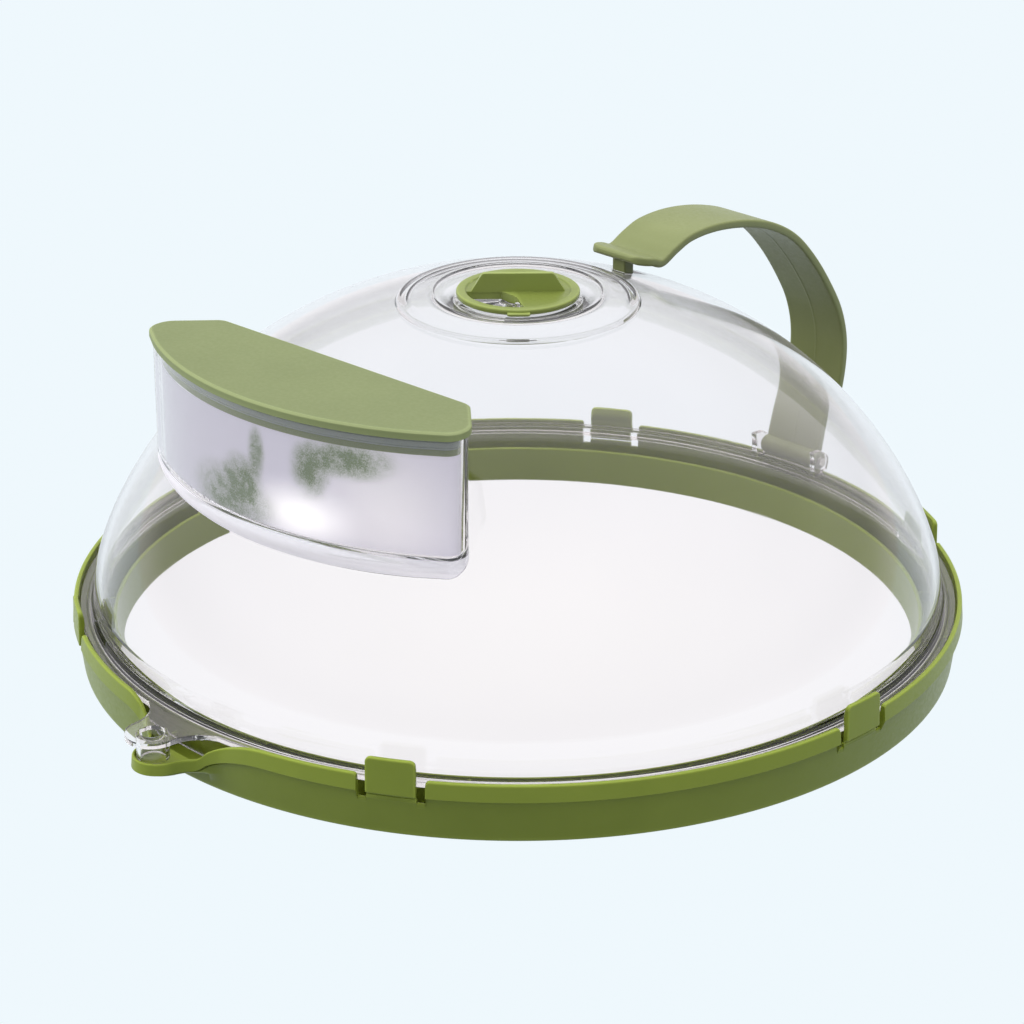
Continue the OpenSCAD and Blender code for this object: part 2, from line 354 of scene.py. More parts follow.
def bevel(obj, width, segments, angle):
    step = obj.modifiers.new("edges", "BEVEL")
    step.width = width / MM
    step.segments = segments
    step.limit_method = "ANGLE"
    step.angle_limit = math.radians(angle)
    step.use_clamp_overlap = True
    apply_modifiers(obj)


def finish_piece(obj, body, slot, material, *nodes, angle=35):
    """Shades a piece smooth, gives it its material and body, and hides the CAD nodes it stands
    for. The slot is not used.
    """
    obj.data.shade_smooth()
    obj.data.set_sharp_from_angle(angle=math.radians(angle))
    step = obj.modifiers.new("flat faces", "WEIGHTED_NORMAL")
    step.keep_sharp = True
    step.weight = 80
    apply_modifiers(obj)
    obj.data.materials.clear()
    obj.data.materials.append(material)
    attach(obj, body)
    if nodes:
        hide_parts(*nodes)
    return obj


# ---------------------------------------------------------------- materials

class Shading:
    """Node tree of a material or the world, with short ways to add nodes and link them."""

    def __init__(self, owner, output):
        owner.use_nodes = True
        self.nodes = owner.node_tree.nodes
        self.links = owner.node_tree.links
        self.nodes.clear()
        self.output = self.add(output)

    def add(self, kind, sockets=None, operation=None):
        """New node with its input sockets filled in."""
        node = self.nodes.new("ShaderNode" + kind)
        if operation:
            node.operation = operation
        self.fill(node, sockets or {})
        return node

    def fill(self, node, sockets):
        """Gives each socket a plain value, or links it to another node's output."""
        for key, value in sockets.items():
            socket = node.inputs[key]
            if isinstance(value, bpy.types.NodeSocket):
                self.links.new(value, socket)
            elif socket.type == "RGBA":
                socket.default_value = (*value, 1)
            else:
                socket.default_value = value

    def show(self, surface):
        self.fill(self.output, {"Surface": surface})

    def coords(self, kind="Object"):
        return self.add("TexCoord").outputs[kind]

    def noise(self, scale, detail=2.0, roughness=0.55):
        """Noise over the object's own coordinates, with its scale in waves per metre."""
        return self.add("TexNoise", {
            "Vector": self.coords(), "Scale": scale, "Detail": detail, "Roughness": roughness,
        }).outputs["Fac"]

    def spread(self, source, low, high, from_low=0.3, from_high=0.7, easing="LINEAR"):
        """Maps a value to a range."""
        node = self.add("MapRange", {"Value": source, "From Min": from_low, "From Max": from_high,
                                     "To Min": low, "To Max": high})
        node.interpolation_type = easing
        return node.outputs["Result"]

    def ramp(self, source, dark, light):
        """Colour ramp over the middle of a noise's range."""
        node = self.add("ValToRGB", {"Fac": source})
        first, last = node.color_ramp.elements
        first.position, last.position = 0.3, 0.7
        first.color, last.color = (*dark, 1), (*light, 1)
        return node.outputs["Color"]

    def blend(self, factor, first, second):
        """Mixes two colours, each three numbers or a colour output."""
        node = self.add("Mix")
        node.data_type = "RGBA"
        self.fill(node, {"Factor": factor, 6: first, 7: second})
        return node.outputs[2]

    def product(self, first, second):
        return self.add("Math", {0: first, 1: second}, "MULTIPLY").outputs["Value"]

    def weighted(self, source, weight, base):
        """source * weight + base, where base is a number or another value."""
        return self.add("Math", {0: source, 1: weight, 2: base}, "MULTIPLY_ADD").outputs["Value"]

    def length(self, vector):
        return self.add("VectorMath", {0: vector}, "LENGTH").outputs["Value"]

    def bump(self, height, strength, depth, sockets=None):
        """Bump with its depth in millimetres."""
        node = self.add("Bump", {"Height": height, "Strength": strength, "Distance": depth / MM})
        self.fill(node, sockets or {})
        return node.outputs["Normal"]

    def mix_shaders(self, share, first, second):
        return self.add("MixShader", {"Fac": share, 1: first, 2: second}).outputs["Shader"]

    def add_shaders(self, first, second):
        return self.add("AddShader", {0: first, 1: second}).outputs["Shader"]

    def near_spot(self, place, size, reach):
        """1 at a place in millimetres, falling to 0 at a reach, in a space squeezed by size."""
        mapping = self.add("Mapping")
        mapping.vector_type = "TEXTURE"
        self.fill(mapping, {"Vector": self.coords(), "Location": [value / MM for value in place],
                            "Scale": size})
        return self.spread(self.length(mapping.outputs["Vector"]), 1, 0, 0, reach / MM,
                           "SMOOTHSTEP")

    def spots(self, *spots):
        """Sum of several soft spots, each a place, a size and a reach, limited to 1."""
        total = 0.0
        for spot in spots:
            total = self.weighted(self.near_spot(*spot), 1.0, total)
        return self.spread(total, 0, 1, 0, 1)


def new_material(name):
    material = bpy.data.materials.new(name)
    return material, Shading(material, "OutputMaterial")


def moulded_plastic(name, dark, light, rough, grain_scale, grain_depth, subsurface=0.0,
                    specular=0.5, painted_edge_highlight=0.0):
    """Opaque moulded plastic: cloudy colour, a painted highlight on thin edges, uneven gloss and
    a fine grain.
    """
    material, shading = new_material(name)
    base = shading.ramp(shading.noise(45, 4), dark, light)
    if painted_edge_highlight:
        # Painted highlight: thin, sharp edges are made paler, as if they caught the light.
        bend = shading.add("NewGeometry").outputs["Pointiness"]
        painted_highlight_tone = [min(1, value * 1.7 + 0.02) for value in light]
        base = shading.blend(shading.spread(bend, 0, painted_edge_highlight, 0.503, 0.535), base, painted_highlight_tone)
    slow = shading.bump(shading.noise(60), 0.25, 0.12)
    shader = shading.add("BsdfPrincipled", {
        "Base Color": base,
        "Roughness": shading.spread(shading.noise(900), rough - 0.05, rough + 0.07),
        "IOR": 1.48,
        "Specular IOR Level": specular,
        "Normal": shading.bump(shading.noise(grain_scale), 0.35, grain_depth, {"Normal": slow}),
    })
    if subsurface:
        shading.fill(shader, {"Subsurface Weight": subsurface, "Subsurface Scale": 0.002,
                              "Subsurface Radius": (1.0, 1.0, 0.3)})
    shading.show(shader.outputs["BSDF"])
    return material


def box_floor_mask(shading):
    """1 on the solid floor of the water box, where it stands out of the dome, and 0 elsewhere."""
    coords = shading.coords()
    flat = shading.add("VectorMath", {0: coords, 1: (1, 1, 0)}, "MULTIPLY")
    radius = shading.length(flat.outputs["Vector"])
    height = shading.add("SeparateXYZ", {"Vector": coords}).outputs["Z"]
    proud = shading.weighted(height, CONE_SLOPE, radius)
    proud = shading.spread(proud, 0, 1, CONE_REACH / MM, (CONE_REACH + 0.6) / MM)
    above = shading.spread(height, 0, 1, 60 / MM, 61 / MM)
    below = shading.spread(height, 1, 0, (BOX_FLOOR - 0.1) / MM, (BOX_FLOOR + 0.3) / MM)
    return shading.product(proud, shading.product(above, below))


def clear_plastic(name, tint, rough=0.015, wave_depth=0.02):
    """Clear polished plastic, milky at a slant and in the box's solid floor, which also glows
    with painted light.

    Shadow and diffuse rays pass straight through it, a little dimmed.
    """
    material, shading = new_material(name)
    edge_tint = [value * 0.985 for value in tint]
    shader = shading.add("BsdfPrincipled", {
        "Base Color": shading.ramp(shading.noise(22), edge_tint, tint),
        "Roughness": shading.spread(shading.noise(35, 3), rough * 0.5, rough * 2),
        "Transmission Weight": 1,
        "IOR": 1.5,
        "Normal": shading.bump(shading.noise(70), 0.2, wave_depth),
    })
    milk = shading.add_shaders(
        shading.add("BsdfDiffuse", {"Color": HAZE_TONE}).outputs["BSDF"],
        shading.add("BsdfTranslucent", {"Color": HAZE_TONE}).outputs["BSDF"])
    slant = shading.add("LayerWeight", {"Blend": 0.35}).outputs["Facing"]
    at_slant = shading.spread(slant, 0.002, 0.25, 0.45, 1.0)
    under_box = box_floor_mask(shading)
    # Painted glow: the box's solid floor emits a little light of its own, on top of its
    # milkiness.
    painted_floor_glow = shading.add("Emission", {"Color": PAINTED_BOX_FLOOR_GLOW,
                                   "Strength": shading.weighted(under_box, 0.4, 0.0)})
    hazed = shading.mix_shaders(shading.weighted(under_box, 0.75, at_slant),
                                shader.outputs["BSDF"],
                                shading.add_shaders(milk, painted_floor_glow.outputs["Emission"]))
    rays = shading.add("LightPath").outputs
    passing = shading.add("Math", {0: rays["Is Shadow Ray"], 1: rays["Is Diffuse Ray"]},
                          "MAXIMUM").outputs["Value"]
    through = shading.add("BsdfTransparent", {"Color": SHADOW_TINT}).outputs["BSDF"]
    shading.show(shading.mix_shaders(passing, hazed, through))
    return material


def frost(name):
    """Steam settled on the water box: a lavender film with a white patch and greenish smears, and
    a painted glow, strongest at the white patch and the side.
    """
    material, shading = new_material(name)
    grain = shading.noise(2600)
    white_patch = shading.spots(((19, -104, 77), (1.4, 1, 0.75), 17))
    grey_side = shading.spots(((44, -96, 82), (1.1, 1, 1.1), 30))
    smears = shading.spots(((-6, -106, 76), (1.4, 1, 0.75), 15),
                           ((5, -106, 92), (0.5, 1, 1.2), 8),
                           ((-1, -106, 83), (1.1, 1, 1), 9),
                           ((23, -103, 91), (0.8, 1, 1), 10),
                           ((34, -100, 96), (1.7, 1, 0.6), 12))
    broken = shading.spread(shading.noise(240, 4, 0.6), 0.75, 1.5, 0.38, 0.58)
    speckled = shading.spread(grain, 0.55, 1.1, 0.35, 0.65)
    speckled = shading.product(shading.product(smears, broken), speckled)
    tone = shading.blend(grey_side, FILM_TONE, FILM_SIDE_TONE)
    tone = shading.blend(white_patch, tone, (1.0, 1.0, 1.0))
    tone = shading.blend(speckled, tone, SMEAR_TONE)
    skin = {"Color": tone, "Normal": shading.bump(grain, 0.5, 0.05)}
    droplets = shading.add("BsdfDiffuse", skin).outputs["BSDF"]
    blurred = shading.add("BsdfRefraction", {**skin, "IOR": 1.3, "Roughness": 0.6})
    # Painted glow: the film emits a little light, more at the white patch and on the side, for
    # light scattered through it from behind.
    strength = shading.weighted(grey_side, 0.08, shading.weighted(white_patch, 0.2, 0.2))
    painted_glow = shading.add("Emission", {"Color": tone, "Strength": strength})
    shading.show(shading.add_shaders(
        shading.mix_shaders(0.6, droplets, blurred.outputs["BSDF"]),
        painted_glow.outputs["Emission"]))
    return material


leaf = moulded_plastic("leaf_green", (0.165, 0.215, 0.018), (0.186, 0.240, 0.024), 0.36,
                       700, 0.02, subsurface=0.05, specular=0.35, painted_edge_highlight=0.5)
leaf_knob = moulded_plastic("leaf_green_knob", (0.148, 0.184, 0.036), (0.168, 0.207, 0.044),
                            0.34, 900, 0.02, painted_edge_highlight=0.6)
leaf_matt = moulded_plastic("leaf_green_matt", (0.155, 0.186, 0.074), (0.171, 0.204, 0.083),
                            0.55, 1800, 0.03, painted_edge_highlight=0.8)
leaf_strap = moulded_plastic("leaf_green_strap", (0.166, 0.192, 0.068), (0.188, 0.216, 0.080),
                             0.42, 1100, 0.03, painted_edge_highlight=0.12)
clear = clear_plastic("clear_wall", (0.992, 0.966, 0.970))
white = moulded_plastic("natural_white", (0.72, 0.72, 0.70), (0.80, 0.80, 0.78), 0.4, 900, 0.02)
silicone = moulded_plastic("silicone", (0.50, 0.56, 0.50), (0.57, 0.63, 0.56), 0.5, 1200, 0.02,
                           subsurface=0.2)
steam = frost("steam_frost")


# ---------------------------------------------------------------- drip ring

def ray_to_circle(ang, along, out, r, far):
    """Distance along a ray from the axis to a circle centred at (out, along)."""
    turn = math.radians(ang)
    reach = out * math.sin(turn) + along * math.cos(turn)
    inside = r * r - (out * out + along * along - reach * reach)
    step = math.sqrt(max(0, inside))
    return reach + step if far else reach - step


def tongue_radius(ang, disc_r, tip_y, tip_r, blend_r):
    """Radius at an angle of a disc and a rounded tongue at angle 0, joined by tangent arcs."""
    ang = abs(ang)
    far = disc_r + blend_r
    near = tip_r + blend_r
    along = (far * far - near * near + tip_y * tip_y) / (2 * tip_y)
    out = math.sqrt(far * far - along * along)
    touch_x = out * tip_r / near
    touch_y = tip_y + (along - tip_y) * tip_r / near
    if ang >= math.degrees(math.atan2(out, along)):
        return disc_r
    if ang >= math.degrees(math.atan2(touch_x, touch_y)):
        return ray_to_circle(ang, along, out, blend_r, far=False)
    return ray_to_circle(ang, tip_y, 0, tip_r, far=True)


def angle_between(a, b):
    return (a - b + 180) % 360 - 180


def lip_height(ang):
    """Height of the lip, which sweeps down to the ear under the lug in an S."""
    from_lug = angle_between(ang, LUG_ANG)
    rise_start, rise_end = (4.0, 14.5) if from_lug > 0 else (4.6, 10.5)
    share = min(1, max(0, (abs(from_lug) - rise_start) / (rise_end - rise_start)))
    return mix(EAR_RIM, LIP_TOP, smooth(6 * share) * (1 - (1 - share) ** 2))


def rim_height(ang):
    """Height of the ring's outer rim: the lip's height, cut down at the clips."""
    height = lip_height(ang)
    corner = 1.1
    for clip_ang in CLIP_ANGLES:
        past_clip = abs(angle_between(ang, clip_ang)) - CLIP_SPAN / 2
        past_edge = past_clip - SLOT_ANG
        if past_edge < 0 < past_clip:
            return SLOT_FLOOR - SLOT_SINK
        if past_edge < 0:
            return SLOT_FLOOR
        distance = math.radians(past_edge) * LIP_R
        if distance < corner:
            height -= corner - math.sqrt(corner ** 2 - (corner - distance) ** 2)
    return height


def quarter(value):
    """Quarter-circle rise from 0 to 1."""
    value = min(1, max(0, value))
    return math.sqrt(1 - (1 - value) ** 2)


def ring_section(ang):
    """Cross-section of the ring at an angle, as (radius, height) points."""
    from_lug = angle_between(ang, LUG_ANG)
    top = rim_height(ang)
    lip = lip_height(ang)
    depth = mix(EAR_BAND, LIP_TOP - BAND_Z, (lip - EAR_RIM) / (LIP_TOP - EAR_RIM))
    band = min(lip - depth, top - 1)
    inner_band = max(EAR_INNER_BAND, min(BAND_Z, top - 1))
    step = smooth((top - band - 1.5) / 2)
    ledge = 0.05
    groove = 0.45 * step
    lean = 0.4 * step

    def outer(z):
        disc = mix(FOOT_R, LIP_R - 1, min(1, z / BAND_Z))
        bulged = tongue_radius(from_lug, disc, EAR_Y, EAR_TIP_R - 1, EAR_BLEND_R + 1)
        return mix(disc, bulged, quarter((z - EAR_FOOT) / 1.5))

    def inner(z):
        disc = mix(FOOT_R - RING_WALL, LIP_IN, z / BAND_Z)
        bulged = tongue_radius(from_lug, disc, EAR_Y, EAR_TIP_R - EAR_WALL,
                               EAR_BLEND_R + EAR_WALL)
        return mix(disc, bulged, quarter((z - EAR_FOOT - 0.6) / 3))

    corners = [(OPENING_R, 0, 0.5), (FOOT_R, 0, 0.9)]
    for share in (0, 0.25, 0.55, 0.6, 0.66, 0.74, 0.82, 0.91):
        z = mix(1.6, band - 0.5, share)
        corners.append((outer(z), z, 0))
    corners += [(outer(band - 0.5), band - 0.5, 0.1), (outer(band) - groove, band - 0.3, 0.1),
                (outer(band) - groove, band, 0.05), (outer(band) + step, band + ledge, 0.1),
                (outer(band) + step - lean, top, 0.95)]
    corners += [(inner(inner_band), top, 0.5), (inner(inner_band), inner_band, 0.5)]
    corners += [(inner(z), z, 0) for z in (7.9, 6.9, 6.2, 5.7, 5.3, 5.05, 4.9, 3.0)]
    corners += [(FOOT_R - RING_WALL, CHANNEL_FLOOR, 0.8), (CHANNEL_IN, CHANNEL_FLOOR, 0.8),
                (CHANNEL_IN, INNER_WALL_H, 0.5), (OPENING_R + 0.5, INNER_WALL_H, 0.5)]
    return soften(corners)


def ring_stations():
    """Angles of the ring's sections: closer together at the ear and at the clips' slots."""
    angles = {round(1.5 * i, 3) % 360 for i in range(240)}
    for clip_ang in CLIP_ANGLES:
        for side in (-1, 1):
            angles.add(round(clip_ang + side * (CLIP_SPAN / 2 - 0.01), 3) % 360)
            angles.add(round(clip_ang + side * (CLIP_SPAN / 2 + 0.01), 3) % 360)
            edge = clip_ang + side * (CLIP_SPAN / 2 + SLOT_ANG)
            for past_edge in (-0.01, 0.01, 0.06, 0.14, 0.27, 0.48):
                angles.add(round(edge + side * past_edge, 3) % 360)
    for i in range(-60, 61):
        angles.add(round(LUG_ANG + 0.2 * i, 3) % 360)
    ordered = sorted(angles)
    return [a for i, a in enumerate(ordered) if a - ordered[i - 1] > 0.009 or i == 0]


def channel_rib(ang):
    """Low rib across the drip channel."""
    half = 0.5
    low = CHANNEL_FLOOR - 0.4
    inside = CHANNEL_IN - 0.4
    outside = FOOT_R - 1
    corners = [(inside, low, 0), (outside, low, 0), (outside, RIB_TOP, 0.3),
               (inside, RIB_TOP, 0.3)]
    rings = []
    for offset, shrink in ((-half, 0.2), (-half + 0.2, 0), (half - 0.2, 0), (half, 0.2)):
        section = [(r, z - shrink if z > low else z) for r, z in soften(corners, 2)]
        rings.append([turned((offset, -r, z), ang) for r, z in section])
    return loft(rings)


def build_ring():
    """Drip ring with the ribs across its channel."""
    rings = [[at(ang, r, z) for r, z in ring_section(ang)] for ang in ring_stations()]
    shapes = [loft(rings, closed=True)]
    shapes += [channel_rib((i + 0.5) * 360 / RIB_COUNT) for i in range(RIB_COUNT)]
    ring = make_object("ring_shell", *shapes)
    return finish_piece(ring, "ring", "leaf_plastic", leaf, "base_ring", angle=42)


def clip_section(top, shrink):
    """Cross-section of a snap clip, drawn in by shrink at its side edges."""
    bead = 0.2
    out = LIP_R - shrink
    inside = LIP_IN + shrink
    return soften([
        (inside, CLIP_FOOT, 0.2), (out - 0.8, CLIP_FOOT, 0.2), (out - 0.8, BAND_Z, 0.1),
        (out, BAND_Z + 0.12, 0.1), (out - 0.2, top, 0.8), (inside + 0.3, top, 0.4),
        (inside - bead, top - 2, 0.5), (inside - bead, top - 3.4, 0.5), (inside, top - 4.4, 0.5),
    ])


def build_clip(number):
    """Curved tab with rounded upper corners, its catch bead on the inside."""
    half = LIP_R * math.sin(math.radians(CLIP_SPAN / 2))
    corner = 1.6
    insets = (0, 0.1, 0.3, 0.6, 1.0, 1.6, 3.2, 4.8, half)
    offsets = [-half + inset for inset in insets]
    offsets += [half - inset for inset in reversed(insets[:-1])]
    rings = []
    for offset in offsets:
        edge = half - abs(offset)
        drop = corner - math.sqrt(corner ** 2 - max(0, corner - edge) ** 2)
        shrink = 0.35 - math.sqrt(0.35 ** 2 - max(0, 0.35 - edge) ** 2)
        section = clip_section(CLIP_TOP - drop, shrink)
        rings.append([at(CLIP_ANGLES[number - 1] + math.degrees(math.asin(offset / LIP_R)), r, z)
                      for r, z in section])
    clip = make_object(f"clip_tab_{number}", loft(rings))
    return finish_piece(clip, f"clip_{number}", "leaf_plastic", leaf, f"snap_clip_{number}",
                        angle=42)


# ---------------------------------------------------------------- clear dome

def dome_point(r, rise, t):
    """Point of the dome's curve, t degrees down from the top."""
    turn = math.radians(t)
    side = max(0, math.sin(turn))
    up = max(0, math.cos(turn))
    return (r * side ** (2 / SIDE_POWER), DOME_BASE + rise * up ** (2 / TOP_POWER))


def dome_angle(r):
    return math.degrees(math.asin((r / DOME_R) ** (SIDE_POWER / 2)))


def dome_profile():
    """Wall of the dome with its rim, skirt and vent seat, as one closed profile."""
    steps = 56
    top_t = dome_angle(CROWN_R)
    sweep = [top_t + (90 - top_t) * i / steps for i in range(steps + 1)]
    inside_r = DOME_R - DOME_WALL
    corners = [
        (inside_r, SKIRT_FOOT, 0.5), (DOME_R, SKIRT_FOOT, 0.5), (DOME_R, FLANGE_Z, 0.4),
        (FLANGE_R, FLANGE_Z, 0.45), (FLANGE_R, FLANGE_TOP, 0.45),
        (DOME_R + 2.2, FLANGE_TOP, 1.0), (DOME_R + 0.6, FLANGE_TOP + 1, 1.0),
        (DOME_R, FLANGE_TOP + 3.3, 1.4),
    ]
    corners += [(*dome_point(DOME_R, DOME_RISE, t), 0) for t in reversed(sweep)]
    corners += [
        (PLATEAU_R + 1.7, SHOULDER_Z - 0.6, 1.6), (PLATEAU_R, SHOULDER_Z, 1.4),
        (SEAT_R + 0.35, PLATEAU_Z, 0.25), (SEAT_R, SEAT_TOP, 0.25),
        (RECESS_R - 0.2, SEAT_Z + 0.05, 0.8), (CUP_R, SEAT_Z, 0.3), (CUP_R, CUP_Z, 0.3),
        (HUB_R + 0.05, CUP_Z, 0.15), (HUB_R + 0.05, CUP_UNDER, 0.15),
        (CUP_R + 1, CUP_UNDER, 1.2), (RECESS_R + 1.5, CUP_UNDER + 1.6, 1.6),
        (SEAT_R + 0.8, PLATEAU_Z - 2, 2.2), (PLATEAU_R - 1.2, SHOULDER_Z - 2, 2.2),
        (PLATEAU_R + 0.8, CUP_UNDER, 1.6),
    ]
    corners += [(*dome_point(inside_r, DOME_RISE - DOME_WALL, t), 0) for t in sweep]
    return soften(corners)


def inner_volume():
    """Solid that fills the space under the dome's wall."""
    steps = 40
    sweep = [5 + 85 * i / steps for i in range(steps + 1)]
    curve = [dome_point(DOME_R - DOME_WALL, DOME_RISE - DOME_WALL, t) for t in sweep]
    return lathe([(0, curve[0][1]), *curve, (DOME_R - DOME_WALL, 5), (0, 5)], 180)


def box_outline(inset, arc_steps=40):
    """Outline of the water box, moved inwards by inset."""
    slant = math.sqrt(0.5)
    offset = slant * (REAR_HALF - BOX_REAR) - inset
    rear_y = -BOX_REAR - inset
    side_x = BOX_HALF - inset
    front_r = BOX_R - inset
    reach = math.asin(side_x / front_r)
    lead = math.radians(6)
    radius = BOX_CORNER - 0.6 * inset
    right = [
        (offset / slant - rear_y, rear_y),
        (side_x, offset / slant - side_x),
        (side_x, -BOX_SHIFT - math.sqrt(front_r ** 2 - side_x ** 2)),
    ]
    arc = []
    for i in range(arc_steps + 1):
        turn = (reach - lead) * (1 - 2 * i / arc_steps)
        arc.append((front_r * math.sin(turn), -BOX_SHIFT - front_r * math.cos(turn), 0))
    radii = (1.8, radius, radius)
    rounded = [(x, y, r) for (x, y), r in zip(right, radii)]
    corners = rounded + arc + [(-x, y, r) for x, y, r in reversed(rounded)]
    return [turned(point, BOX_ANG) for point in soften(corners, 8)]


def box_level(inset, z):
    return [(x, y, z) for x, y in box_outline(inset)]


def tongue_outline(disc_r, steps=220):
    """Outline of the flange's disc with the hanging lug, drawn with the lug at -Y."""
    span = 16
    angles = [-span + 2 * span * i / steps for i in range(steps + 1)]
    outer = [at(a, tongue_radius(a, disc_r, LUG_Y, LUG_TIP_R, LUG_BLEND_R)) for a in angles]
    back = [at(a, DOME_R - 0.8) for a in reversed(angles[::4])]
    return [(p[0], p[1], 0) for p in outer + back]


def lug_plate():
    """Flat lug with rounded edges: its outline drawn in a little at the top and the bottom."""
    levels = ((0.45, FLANGE_Z), (0.12, FLANGE_Z + 0.12), (0, FLANGE_Z + 0.45),
              (0, FLANGE_TOP - 0.45), (0.12, FLANGE_TOP - 0.12), (0.45, FLANGE_TOP))
    rings = []
    for inset, z in levels:
        ring = []
        for x, y, _ in tongue_outline(FLANGE_R - 0.4 - inset):
            ring.append((x, y, z))
        rings.append(ring)
    return turn_points(loft(rings), LUG_ANG)


def round_post(r, low, high, edge, steps=48):
    """Upright post with rounded rims, centred on the axis."""
    outline = [(0, low), (r - edge, low), (r - 0.3 * edge, low + 0.3 * edge), (r, low + edge),
               (r, high - edge), (r - 0.3 * edge, high - 0.3 * edge), (r - edge, high), (0, high)]
    return lathe(outline, steps)


def cheek(side):
    """Ear on the dome's rim that holds the hinge pin, with a rounded top."""
    half = 1
    centre_x = side * (STRAP_HALF + 0.3 + half)
    foot = FLANGE_Z + 0.4
    nose = [(PIN_Y + 3.4 * math.cos(math.radians(a)), PIN_Z + 3.4 * math.sin(math.radians(a)))
            for a in range(-30, 91, 12)]
    outline = [(DOME_R - 2.2, foot, 0), (FLANGE_R - 0.9, foot, 0.4),
               (FLANGE_R - 0.9, LIP_TOP + 0.5, 0.6), (PIN_Y + 2.6, LIP_TOP + 0.5, 0.6)]
    outline += [(y, z, 0) for y, z in nose]
    outline += [(PIN_Y - 0.6, PIN_Z + 4.4, 1.2), (DOME_R - 1.4, PIN_Z + 4.6, 0.8)]
    flat = soften(outline)
    middle_y = sum(p[0] for p in flat) / len(flat)
    middle_z = sum(p[1] for p in flat) / len(flat)
    rings = []
    for offset, shrink in ((-half, 0.35), (-half + 0.12, 0.1), (-half + 0.4, 0),
                           (half - 0.4, 0), (half - 0.12, 0.1), (half, 0.35)):
        rings.append([
            (centre_x + offset, y - shrink * (y > middle_y), z - shrink * (z > middle_z))
            for y, z in flat
        ])
    return loft(rings)


def pin_bore(r):
    """Rod along the hinge's axis, to cut a bore with."""
    return lay_along_x(lathe([(0, -20), (r, -20), (r, 20), (0, 20)], 48), (0, PIN_Y, PIN_Z))


def vent_window():
    """Sector cut through the cup's floor, under the knob."""
    steps = 16
    start, end = -45, 30
    angles = [start + (end - start) * i / steps for i in range(steps + 1)]
    outline = [at(a, 14.4)[:2] for a in angles] + [at(a, 5.6)[:2] for a in reversed(angles)]
    return prism(outline, CUP_UNDER - 1, CUP_Z + 1)


def build_dome():
    """Clear moulding: wall, rim, crown, water box, hanging lug, hinge cheeks and stop peg."""
    dome = make_object("dome_shell", revolve(dome_profile()))
    box_sides = [(0, BOX_RIM), (0, 69), (0.25, 67.7), (1, 66.6), (2.4, BOX_UNDER)]
    combine(dome, "UNION", loft([box_level(inset, z) for inset, z in box_sides]))
    under = [(0.02, 69.2), (0.02, 68.4), (0.35, 66.9), (1.2, 65.2), (2.6, 63.9), (4.4, 63.1),
             (6.4, 62.9)]
    apron = make_object("apron", loft([box_level(inset, z) for inset, z in under]))
    combine(apron, "DIFFERENCE", inner_volume())
    combine(dome, "UNION", apron, lug_plate())
    lug_x, lug_y, _ = at(LUG_ANG, LUG_Y)
    boss = turn_points(round_post(BOSS_R + 0.4, 8.6, FLANGE_TOP - 0.2, 0.5), 0, (lug_x, lug_y, 0))
    combine(dome, "UNION", boss, cheek(-1), cheek(1))
    stop_x, stop_y, _ = at(STOP_ANG, STOP_R)
    peg = turn_points(round_post(STOP_PEG_R, CUP_Z - 0.4, STOP_PEG_TOP, 0.35, 24), 0,
                      (stop_x, stop_y, 0))
    combine(dome, "UNION", peg)
    pocket = [(2.9, BOX_FLOOR), (2.3, BOX_FLOOR + 0.3), (2.05, BOX_FLOOR + 0.9),
              (BOX_WALL, BOX_FLOOR + 1.6), (BOX_WALL, BOX_RIM + 30)]
    combine(dome, "DIFFERENCE", loft([box_level(inset, z) for inset, z in pocket]))
    hole = turn_points(lathe([(0, 0), (LUG_HOLE_R, 0), (LUG_HOLE_R, 40), (0, 40)], 64), 0,
                       (lug_x, lug_y, 0))
    pin_hole = pin_bore(PIN_R)
    half, front, rear = STUD_HALF + 0.3, STUD_Y - 2.3, STUD_Y + 6.9
    slot = prism([(-half, front), (half, front), (half, rear), (-half, rear)], 98, 112)
    combine(dome, "DIFFERENCE", hole, pin_hole, vent_window(), slot)
    return finish_piece(dome, "dome", "clear_plastic", clear, "dome_cover", angle=28)


def build_frost():
    """Film of settled steam on the inner face of the box's front and side walls."""
    low, high = BOX_FLOOR + 1, seal_low[2] - 1.5
    outer = box_outline(BOX_WALL + 0.04)
    inner = box_outline(BOX_WALL + 0.16)
    front_start = -BOX_REAR - 11
    front = [i for i, (_, y) in enumerate(outer) if y < front_start]
    levels = 24
    rings = []
    for i in front:
        column = [(*outer[i], mix(low, high, k / levels)) for k in range(levels + 1)]
        column += [(*inner[i], mix(high, low, k / levels)) for k in range(levels + 1)]
        rings.append(column)
    film = make_object("box_frost", loft(rings))
    return finish_piece(film, "dome", "clear_plastic", steam)


def build_beads():
    """Row of water beads in the corner between the box's floor and its front wall."""
    random.seed(11)
    beads = bmesh.new()
    for i in range(11):
        ang = -28 + 1.9 * i + random.uniform(-0.3, 0.3)
        radius = random.uniform(0.45, 0.8)
        x, y, z = at(ang, BOX_R - BOX_WALL - radius * 0.9, BOX_FLOOR + 0.9)
        x, y = turned((x, y - BOX_SHIFT), BOX_ANG)
        made = bmesh.ops.create_icosphere(beads, subdivisions=3, radius=radius / MM)
        for vert in made["verts"]:
            vert.co.z *= 0.8
            vert.co += Vector((x, y, z)) / MM
    return finish_piece(object_from(beads, "box_beads"), "dome", "clear_plastic", clear)


# ---------------------------------------------------------------- vent knob

